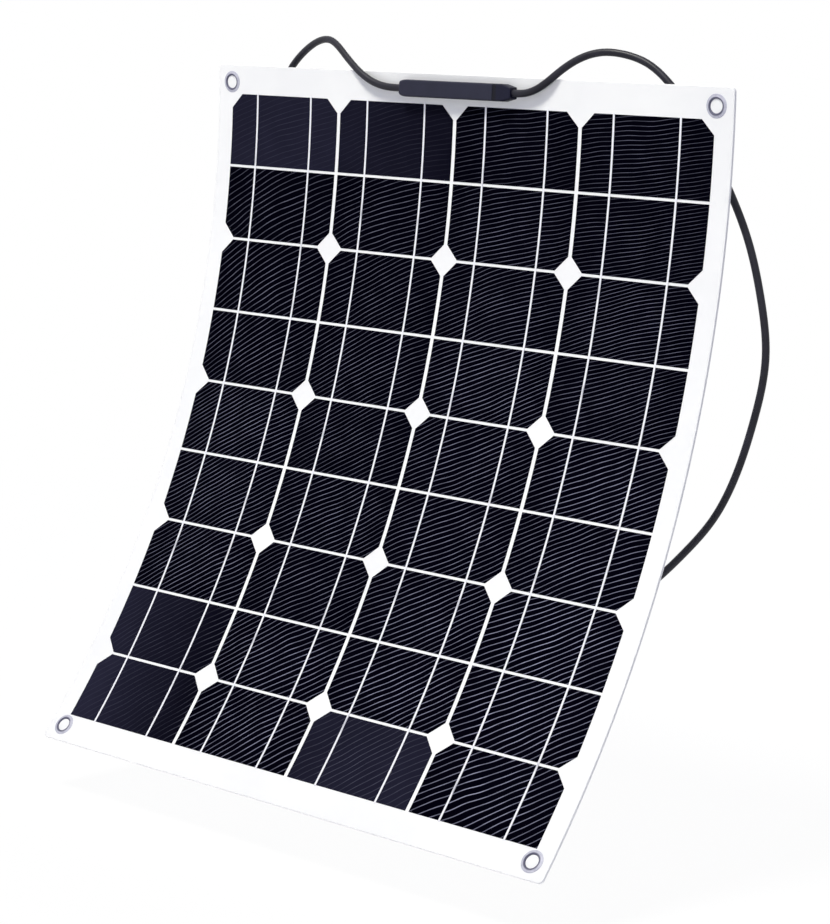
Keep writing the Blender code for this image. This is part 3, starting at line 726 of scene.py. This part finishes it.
BOX_LEFT = -0.0546
BOX_RIGHT = 0.0454
BOX_BACK = -0.00155
BOX_HEIGHT = 0.0090
BOX_WIDTH = 0.0140
BOX_AXIS_Z = 0.0019
BOX_EDGE = 0.0016
BOX_FOOT = 0.0004
NOSE_REACH = 0.0085
NOSE_END_WIDTH = 0.0088
CAP_START = 0.0457
CAP_END = 0.0639
CAP_TAPER = 0.0088
CAP_END_WIDTH = 0.0094
CAP_RIM = 0.0003
SPIGOT_REACH = 0.0020
SPIGOT_SHRINK = 0.0009
SEAL_WIDTH = 0.0036
SEAL_BLUR = 0.0003
BROW_POINTS = 7
FOOT_POINTS = 3
FACE_POINTS = 9
NOSE_POINTS = 9
BODY_STATIONS = 24
CAP_STATIONS = 8
NOSE_ROUNDING = 0.8
CAP_ROUNDING = 0.3


def moulded(name, stations, half_widths, shrinks, material, node):
    """A round-edged bar on the sheet, from one section after another along x.

    Each section is a rectangle, half_width to either side of the axis and BOX_HEIGHT deep, whose
    front corners are quarter circles and whose back corners are small ones.  A shrink draws the
    whole section inwards, which rounds the ends.  Flat faces close the first and the last section.
    """
    turn = np.linspace(0, pi / 2, BROW_POINTS)
    small = np.linspace(0, pi / 2, FOOT_POINTS)
    side_foot = BOX_FOOT * np.stack([np.sin(small) - 1, 1 - np.cos(small)], axis=-1)
    brow = BOX_EDGE * np.stack([np.cos(turn) - 1, np.sin(turn) - 1], axis=-1)
    face = np.linspace(1, -1, FACE_POINTS)[1:-1]
    rings = []
    for x, half, shrink in zip(stations, half_widths, shrinks):
        side = half - shrink
        front = BOX_HEIGHT - shrink
        keep = 1 - shrink / (BOX_EDGE + SPIGOT_SHRINK)
        upper_foot = side_foot + (side, 0)
        upper_brow = np.stack([side + brow[:, 0] * keep, front + brow[:, 1] * keep], axis=-1)
        edge = side - BOX_EDGE * keep
        flat = np.stack([face * edge, np.full(len(face), front)], axis=-1)
        upper = np.vstack([upper_foot, upper_brow])
        lower = upper[::-1] * (-1, 1)
        outline = np.vstack([upper, flat, lower])
        z = BOX_AXIS_Z + outline[:, 0]
        y = BOX_BACK - outline[:, 1]
        rings.append(np.stack([np.full(len(z), x), y, z], axis=-1))
    points = np.array(rings)
    rows, ring = points.shape[:2]
    faces = [tuple(f) for f in quads(rows, ring, wrap=True)]
    faces.append(tuple(range(ring))[::-1])
    faces.append(tuple(range((rows - 1) * ring, rows * ring)))
    new_piece(name, points, faces, material, "row_1", [node])


def moulding_material(name, colour, scale, seal=None):
    """Spark-eroded grain on charcoal plastic, slightly shinier where hands have rubbed it.

    A darker rubber seal shows between two places along x, where seal gives them.
    """
    made, shader, place, _ = start_material(name, Specular_IOR_Level=0.18)
    rub = place.noise(70, 3)
    dark = tuple(0.86 * c for c in colour)
    shade = rub.step(0.3, 0.7).blend((*dark, 1), (*colour, 1))
    if seal:
        low, high = seal
        along = place.part(0)
        ring = along.step(low - SEAL_BLUR, low) * (1 - along.step(high, high + SEAL_BLUR))
        shade = ring.blend(shade, (0.0035, 0.0035, 0.0090, 1))
    feed(shade, shader, "Base Color")
    feed(0.50 - 0.12 * rub, shader, "Roughness")
    bump(place.noise(scale, 3), shader, 0.00006)
    return made


box_finish = moulding_material("box moulding", (0.0190, 0.0197, 0.0375), 2400)
cap_seal = (CAP_START - CAP_RIM, CAP_START + SEAL_WIDTH)
cap_finish = moulding_material("cap moulding", (0.0048, 0.0052, 0.0200), 3200, cap_seal)


def add_box_body():
    """The nose follows a quarter of an ellipse from its end's half width to the bar's."""
    turn = np.linspace(0, pi / 2, NOSE_POINTS)
    nose_end = BOX_LEFT + BOX_EDGE * (1 - np.cos(turn[::2]))
    nose = BOX_LEFT + NOSE_REACH * (1 - np.cos(turn))
    body = np.linspace(BOX_LEFT + NOSE_REACH, BOX_RIGHT - CAP_RIM, BODY_STATIONS)
    stations = np.union1d(np.union1d(nose_end, nose), body)
    stations = np.concatenate([stations, [BOX_RIGHT]])
    reach = np.clip(1 - (stations - BOX_LEFT) / NOSE_REACH, 0, 1)
    rise = np.sqrt(1 - reach**2)
    half = NOSE_END_WIDTH / 2 + (BOX_WIDTH - NOSE_END_WIDTH) / 2 * rise
    near = np.clip(1 - (stations - BOX_LEFT) / BOX_EDGE, 0, 1)
    shrink = BOX_EDGE * (1 - np.sqrt(1 - near**2)) * NOSE_ROUNDING
    shrink[-1] = CAP_RIM
    moulded("box_body", stations, half, shrink, box_finish, "junction_box_body")


def add_box_cap():
    """A short spigot inside the body's mouth, then the straight grip and a taper to the lead."""
    straight = np.linspace(CAP_START + CAP_RIM, CAP_END - CAP_TAPER, CAP_STATIONS)
    taper = np.linspace(CAP_END - CAP_TAPER, CAP_END - CAP_RIM * 2, CAP_STATIONS)
    stations = np.concatenate([straight, taper[1:], [CAP_END - CAP_RIM, CAP_END]])
    along = np.clip((stations - (CAP_END - CAP_TAPER)) / CAP_TAPER, 0, 1)
    half = BOX_WIDTH / 2 - (BOX_WIDTH - CAP_END_WIDTH) / 2 * along
    shrink = np.zeros(len(stations))
    shrink[-2:] = CAP_RIM * CAP_ROUNDING, CAP_RIM
    stations = np.concatenate([[CAP_START - SPIGOT_REACH, CAP_START, CAP_START], stations])
    half = np.concatenate([np.full(3, BOX_WIDTH / 2), half])
    shrink = np.concatenate([[SPIGOT_SHRINK, SPIGOT_SHRINK, CAP_RIM], shrink])
    moulded("box_cap", stations, half, shrink, cap_finish, "junction_box_end_cap")


add_box_body()
add_box_cap()


def dress(node, material):
    """Gives a part of the plain model a finish of its own."""
    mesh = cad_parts[node].data
    mesh.materials.clear()
    mesh.materials.append(material)


diode_finish = moulding_material("diode epoxy", (0.020, 0.020, 0.022), 2000)
dress("bypass_diode", diode_finish)


# Connectors -------------------------------------------------------------------------------------
# Moulded nylon plug and socket of the usual kind for solar leads.  A ribbed gland nut squeezes a
# seal on the lead; the plug has two latch legs, and the socket a window for each of them.

NUT_LENGTH = 0.0200
NUT_DIAMETER = 0.0190
NUT_NECK = 0.0120
NUT_WALL_LENGTH = 0.0080
NUT_FLATS = 6
NUT_FLAT_DEPTH = 0.0007
SPIGOT_DIAMETER = 0.0136
SHELL_DIAMETER = 0.0180
SHELL_LENGTH = 0.0240
NOSE_DIAMETER = 0.0112
NOSE_LENGTH = 0.0180
CONTACT_BORE = 0.0056
CONTACT_DEPTH = 0.0280
SLEEVE_WALL = 0.0015
SLEEVE_WINDOW = 0.0060
LATCH_WIDTH = 0.0050
LATCH_THICKNESS = 0.0020
LATCH_OFFSET = 0.0072
LATCH_LENGTH = 0.0150
LATCH_EDGE = 0.0003
SEAT_GAP = 0.0003
LEAD_GAP = 0.0001
HOUSING_EDGE = 0.0005
NUT_EDGE = 0.00005
REAR_BORE = 0.0101
GRIP_LINES = 8
MOST_CUT = 0.45


def connector_frame(route):
    """The lead's end, with -Z along the way that the lead points there."""
    turn = Vector(way_at_end(route)).to_track_quat("-Z", "Y").to_matrix()
    return Matrix.Translation(route[-1]) @ turn.to_4x4()


def nylon_material():
    """Black nylon with a fine matt grain, slightly shinier where it is darker."""
    made, shader, place, _ = start_material("black nylon", Specular_IOR_Level=0.4)
    cloud = place.noise(90, 2)
    colour = cloud.step(0.3, 0.7).blend((0.012, 0.012, 0.014, 1), (0.021, 0.021, 0.024, 1))
    feed(colour, shader, "Base Color")
    feed(0.42 + 0.16 * cloud, shader, "Roughness")
    bump(place.noise(2200, 3), shader, 0.00005)
    return made


nylon_finish = nylon_material()


def rounded(profile, radius):
    """The outline with each corner off the axis replaced by the points of a small quadratic arc."""
    points = [Vector(p) for p in profile]
    made = []
    for i, point in enumerate(points):
        before = points[i - 1] - point
        after = points[(i + 1) % len(points)] - point
        cut = min(radius, before.length * MOST_CUT, after.length * MOST_CUT)
        if point.x < radius:
            made.append(tuple(point))
            continue
        start = point + before.normalized() * cut
        end = point + after.normalized() * cut
        for share in (0, 0.33, 0.67, 1):
            made.append(tuple(start.lerp(point, share).lerp(point.lerp(end, share), share)))
    return np.array(made)


def turned_along(profile, steps, radius_at=None):
    """Points (r cos t, r sin t, h) of a closed outline turned about the lead's axis.

    radius_at, where given, takes the arrays of r, h and t and returns the radius to use.
    """
    turns = np.linspace(0, tau, steps, endpoint=False)
    radius, height = np.broadcast_arrays(profile[:, 0][:, None], profile[:, 1][:, None])
    radius, height, turns = np.broadcast_arrays(radius, height, turns)
    if radius_at:
        radius = radius_at(radius, height, turns)
    return np.stack([radius * np.cos(turns), radius * np.sin(turns), height], axis=-1)


def flatted(radius, height, turns):
    """Cuts flats: the distance to a flat's face over the cosine of the angle from its middle."""
    outer = NUT_DIAMETER / 2
    off = (turns + pi / NUT_FLATS) % (tau / NUT_FLATS) - pi / NUT_FLATS
    low, high = -NUT_LENGTH + 2 * NUT_FLAT_DEPTH, -NUT_WALL_LENGTH - NUT_FLAT_DEPTH
    flat = (outer - NUT_FLAT_DEPTH) / np.cos(off)
    inside = (height > low) & (height < high) & (radius > outer - 2 * NUT_FLAT_DEPTH)
    return np.where(inside, np.minimum(radius, flat), radius)


def placed_ring(points, place):
    """The points carried from the lead's end into the part's frame, as one list."""
    turn = np.array(place.to_3x3())
    return points.reshape(-1, 3) @ turn.T + np.array(place.translation)


def add_nut(side, place):
    """A turned nut that tapers to the lead, with flats to grip and a skirt over the housing's end."""
    bore, neck, outer = CABLE_DIAMETER / 2 + LEAD_GAP, NUT_NECK / 2, NUT_DIAMETER / 2
    skirt = SPIGOT_DIAMETER / 2 + SEAT_GAP
    grip = np.linspace(-NUT_WALL_LENGTH - NUT_FLAT_DEPTH, -NUT_LENGTH + 2 * NUT_FLAT_DEPTH, GRIP_LINES)
    profile = [(bore, 0), (neck, 0), (outer, -NUT_WALL_LENGTH)]
    heights = (grip[0] + NUT_EDGE, grip[0] - NUT_EDGE, *grip[1:-1], grip[-1] + NUT_EDGE, grip[-1] - NUT_EDGE)
    profile += [(outer, h) for h in heights]
    profile += [(outer - NUT_FLAT_DEPTH, -NUT_LENGTH), (skirt, -NUT_LENGTH)]
    profile += [(skirt, -NUT_WALL_LENGTH), (bore, -NUT_WALL_LENGTH)]
    profile = np.array(profile)
    points = turned_along(profile, ROUND_STEPS * 2, flatted)
    rows, ring = points.shape[:2]
    faces = quads(rows + 1, ring, wrap=True) % (rows * ring)
    points = placed_ring(points, place)
    name = f"{side}_gland_nut"
    new_piece(f"nut_{side}", points, faces[:, ::-1], nylon_finish, f"{side}_nut", [name])


def add_housing(side, name, outline, place):
    """A turned shell whose outline starts and ends on the axis, closed there by two fans."""
    profile = rounded(outline, HOUSING_EDGE)
    points = turned_along(profile[1:-1], ROUND_STEPS)
    rows, ring = points.shape[:2]
    faces = [tuple(f) for f in quads(rows, ring, wrap=True)[:, ::-1]]
    faces.append(tuple(range(ring)))
    faces.append(tuple(range((rows - 1) * ring, rows * ring))[::-1])
    points = placed_ring(points, place)
    return new_piece(f"{side}_{name}", points, faces, nylon_finish, "row_1", [name])


def rear_outline():
    """The rear of both housings, from the bottom of the lead's bore to the shell's side."""
    bore, spigot, shell = CABLE_DIAMETER / 2 + LEAD_GAP, SPIGOT_DIAMETER / 2, SHELL_DIAMETER / 2
    rear = -NUT_WALL_LENGTH - SEAT_GAP
    shoulder = -NUT_LENGTH - SEAT_GAP
    floor = -NUT_LENGTH - REAR_BORE
    return [(0, floor), (bore, floor), (bore, rear), (spigot, rear), (spigot, shoulder), (shell, shoulder)]


SHELL_FRONT = -NUT_LENGTH - SHELL_LENGTH
TIP = SHELL_FRONT - NOSE_LENGTH
plug_place = connector_frame(LEFT_ROUTE)
socket_place = connector_frame(RIGHT_ROUTE)
add_nut("left", plug_place)
add_nut("right", socket_place)
plug_outline = rear_outline() + [(SHELL_DIAMETER / 2, SHELL_FRONT), (NOSE_DIAMETER / 2, SHELL_FRONT)]
plug_outline += [(NOSE_DIAMETER / 2, TIP), (CONTACT_BORE / 2, TIP)]
plug_outline += [(CONTACT_BORE / 2, TIP + CONTACT_DEPTH), (0, TIP + CONTACT_DEPTH)]
add_housing("left", "plug_housing", plug_outline, plug_place)
sleeve = SHELL_DIAMETER / 2 - SLEEVE_WALL
socket_outline = rear_outline() + [(SHELL_DIAMETER / 2, TIP), (sleeve, TIP), (sleeve, SHELL_FRONT)]
socket_outline += [(CONTACT_BORE / 2, SHELL_FRONT), (CONTACT_BORE / 2, TIP + CONTACT_DEPTH)]
socket_outline += [(0, TIP + CONTACT_DEPTH)]
socket = add_housing("right", "socket_housing", socket_outline, socket_place)


def prism(outline, half_width):
    """The outline (x, h) carried from y = -half_width to y = half_width, with a face at each end."""
    outline = np.asarray(outline)
    count = len(outline)
    sides = [np.full(count, y) for y in (-half_width, half_width)]
    points = np.vstack([np.stack([outline[:, 0], y, outline[:, 1]], axis=-1) for y in sides])
    faces = [tuple(f) for f in quads(2, count, wrap=True)]
    return points, faces + [tuple(range(count))[::-1], tuple(range(count, 2 * count))]


def add_latches():
    """Two springy legs beside the plug's nose; a barb near each tip catches in the socket."""
    root, low = SHELL_FRONT + LATCH_THICKNESS, SHELL_FRONT - LATCH_LENGTH
    barb = low + 2 * LATCH_THICKNESS
    near, far = LATCH_OFFSET - LATCH_THICKNESS / 2, LATCH_OFFSET + LATCH_THICKNESS / 2
    outline = [(near, root), (near, low), (far, low)]
    outline += [(far + LATCH_THICKNESS / 2, barb), (far, barb), (far, root)]
    points, faces = prism(outline, LATCH_WIDTH / 2)
    other = points * (-1, -1, 1)
    points = placed_ring(np.vstack([points, other]), plug_place)
    faces += [tuple(i + len(other) for i in face) for face in faces]
    latches = new_piece("left_plug_latches", points, faces, nylon_finish, "row_1", ())
    edge = latches.modifiers.new("edge", "BEVEL")
    edge.width = LATCH_EDGE
    edge.segments = 2
    edge.limit_method = "ANGLE"


def cut_windows():
    """A slot right across the socket's sleeve, where the plug's two barbs spring out."""
    middle, half = SHELL_FRONT - NOSE_LENGTH / 2, SLEEVE_WINDOW / 2
    across, low, high = SHELL_DIAMETER, middle - half, middle + half
    outline = [(across, high), (across, low), (-across, low), (-across, high)]
    points, faces = prism(outline, LATCH_WIDTH / 2 + SEAT_GAP)
    mesh = bpy.data.meshes.new("window")
    mesh.from_pydata(placed_ring(points, socket_place), [], faces)
    cut_away(socket, mesh)


add_latches()
cut_windows()


def tin_material():
    """Tin plate: pale, soft-bright metal with faint drawing marks."""
    made, shader, place, _ = start_material("tin plate", Metallic=1.0)
    streak = place.noise(900, 2)
    feed(streak.blend((0.66, 0.64, 0.60, 1), (0.86, 0.84, 0.80, 1)), shader, "Base Color")
    feed(0.24 + 0.16 * streak, shader, "Roughness")
    bump(streak, shader, 0.00002)
    return made


tin_finish = tin_material()
dress("plug_contact", tin_finish)
dress("socket_contact", tin_finish)


# Studio -----------------------------------------------------------------------------------------
# A pale floor, low enough for the sheet to hang flat above it, a lamp overhead and in front, which
# throws the box's shadow down the border, a weak one on the right, one behind, and cool light all
# round.  The camera and metal see plain white, but the floor near the sheet takes a little shadow.

FLOOR_Z = -0.6080
FLOOR_REACH = 6.0
SHADOW_SHARE = 0.05
SHADOW_REACH = 2.0
LAMP_AIM = (0, 0, -0.25)
SKY_COLOUR = (0.68, 0.72, 1.0, 1)
SKY_STRENGTH = 0.37


def sight(tree):
    """1 for what the camera, a mirror or a clear piece looks at, and 0 for light that falls."""
    paths = tree.nodes.new("ShaderNodeLightPath")
    camera_ray, glossy, clear = (
        Wire(tree, paths.outputs[f"Is {kind} Ray"]) for kind in ("Camera", "Glossy", "Transmission")
    )
    return camera_ray.maths("MAXIMUM", camera_ray, glossy.maths("MAXIMUM", glossy, clear))


def floor_material():
    """Matt white paper with a faint mottle, mostly replaced by plain white where it is looked at,
    and wholly so far from the sheet.
    """
    made, shader, place, _ = start_material("pale floor", Specular_IOR_Level=0.1, Roughness=0.9)
    feed(place.noise(3, 2).blend((0.92, 0.92, 0.92, 1), (0.90, 0.90, 0.90, 1)), shader, "Base Color")
    across, deep = place.part(0), place.part(1)
    away = (across * across + deep * deep).step(0.25 * SHADOW_REACH**2, SHADOW_REACH**2)
    seen = sight(made.node_tree) * (1 - SHADOW_SHARE * (1 - away))
    white = seen.make("ShaderNodeEmission", None, {"Color": (1, 1, 1, 1), "Strength": 1.0})
    lit = Wire(made.node_tree, shader.outputs["BSDF"])
    mixed = seen.make("ShaderNodeMixShader", None, {0: seen, 1: lit, 2: white})
    made.node_tree.links.new(mixed.socket, made.node_tree.nodes["Material Output"].inputs["Surface"])
    return made


floor_mesh = bpy.data.meshes.new("floor")
ends = ((-1, -1), (1, -1), (1, 1), (-1, 1))
floor_mesh.from_pydata([(x * FLOOR_REACH, y * FLOOR_REACH, FLOOR_Z) for x, y in ends], [], [(0, 1, 2, 3)])
floor_mesh.materials.append(floor_material())
floor = bpy.data.objects.new("floor", floor_mesh)
scene.collection.objects.link(floor)


def add_lamp(name, place, size, power, colour):
    """A round lamp aimed at the middle of the sheet."""
    data = bpy.data.lights.new(name, "AREA")
    data.shape = "DISK"
    data.size = size
    data.energy = power
    data.color = colour
    lamp = bpy.data.objects.new(name, data)
    scene.collection.objects.link(lamp)
    way = Vector(LAMP_AIM) - Vector(place)
    lamp.matrix_world = Matrix.Translation(place) @ way.to_track_quat("-Z", "Y").to_matrix().to_4x4()


add_lamp("key", (-0.1, -1.6, 2.6), 0.8, 107, (1.0, 0.985, 0.90))
add_lamp("fill", (2.4, -2.2, 0.6), 1.6, 5, (1.0, 1.0, 1.0))
add_lamp("back", (-1.2, 2.6, 0.9), 1.6, 42, (1.0, 0.985, 0.95))

world = bpy.data.worlds.new("studio")
scene.world = world
world.use_nodes = True
world.node_tree.nodes.clear()
seen = sight(world.node_tree)
sky = seen.make("ShaderNodeBackground", None, {"Color": SKY_COLOUR, "Strength": SKY_STRENGTH})
white = seen.make("ShaderNodeBackground", None, {"Color": (1, 1, 1, 1), "Strength": 1.0})
mixed = seen.make("ShaderNodeMixShader", None, {0: seen, 1: sky, 2: white})
output = world.node_tree.nodes.new("ShaderNodeOutputWorld")
world.node_tree.links.new(mixed.socket, output.inputs["Surface"])
